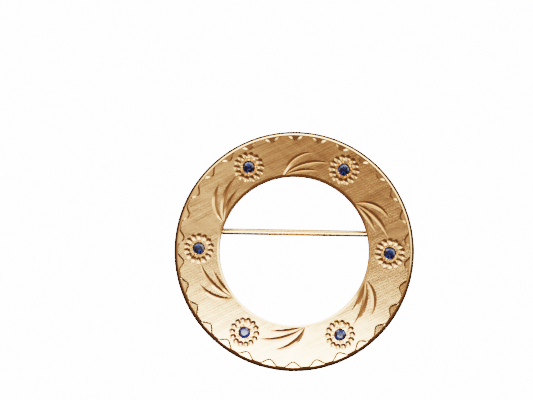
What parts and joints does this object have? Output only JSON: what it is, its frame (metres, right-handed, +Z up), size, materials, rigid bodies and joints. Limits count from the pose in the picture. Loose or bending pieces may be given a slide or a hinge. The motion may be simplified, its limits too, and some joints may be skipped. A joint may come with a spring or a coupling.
{
  "type": "flower brooch",
  "caption": "Flat open circle brooch engraved with flowers round small blue stones, leaf sprays and a scalloped edge, with a hinged pin stem and a C catch behind.",
  "frame": {"origin": "centre of the brooch's outline, on the surface that it lies on", "axes": "+X along the pin stem towards its joint, +Y towards the top of the brooch, +Z up; the face looks up and leans 9 degrees towards -Y, as the brooch lies on its joint, catch and lower rim"},
  "size_m": [0.032, 0.0316, 0.0062],
  "materials": {
    "engraved_gold": "cross-hatched satin face with bright polished cuts, rim and back",
    "polished_gold": "polished",
    "sapphire": "clear dark blue, faceted and polished"
  },
  "bodies": {
    "brooch": {"ring": "engraved_gold", "hinge_rivet": "polished_gold", "sapphire_1": "sapphire", "sapphire_2": "sapphire", "sapphire_3": "sapphire", "sapphire_4": "sapphire", "sapphire_5": "sapphire", "sapphire_6": "sapphire"},
    "pin": {"pin_stem": "polished_gold"}
  },
  "joints": [
    {"name": "pin_hinge", "type": "hinge", "parent": "brooch", "child": "pin", "pos_m": [0.01267, 0.00284, 0.00132], "axis": [0, -0.9876, -0.1572], "range_deg": [0, 85]}
  ]
}
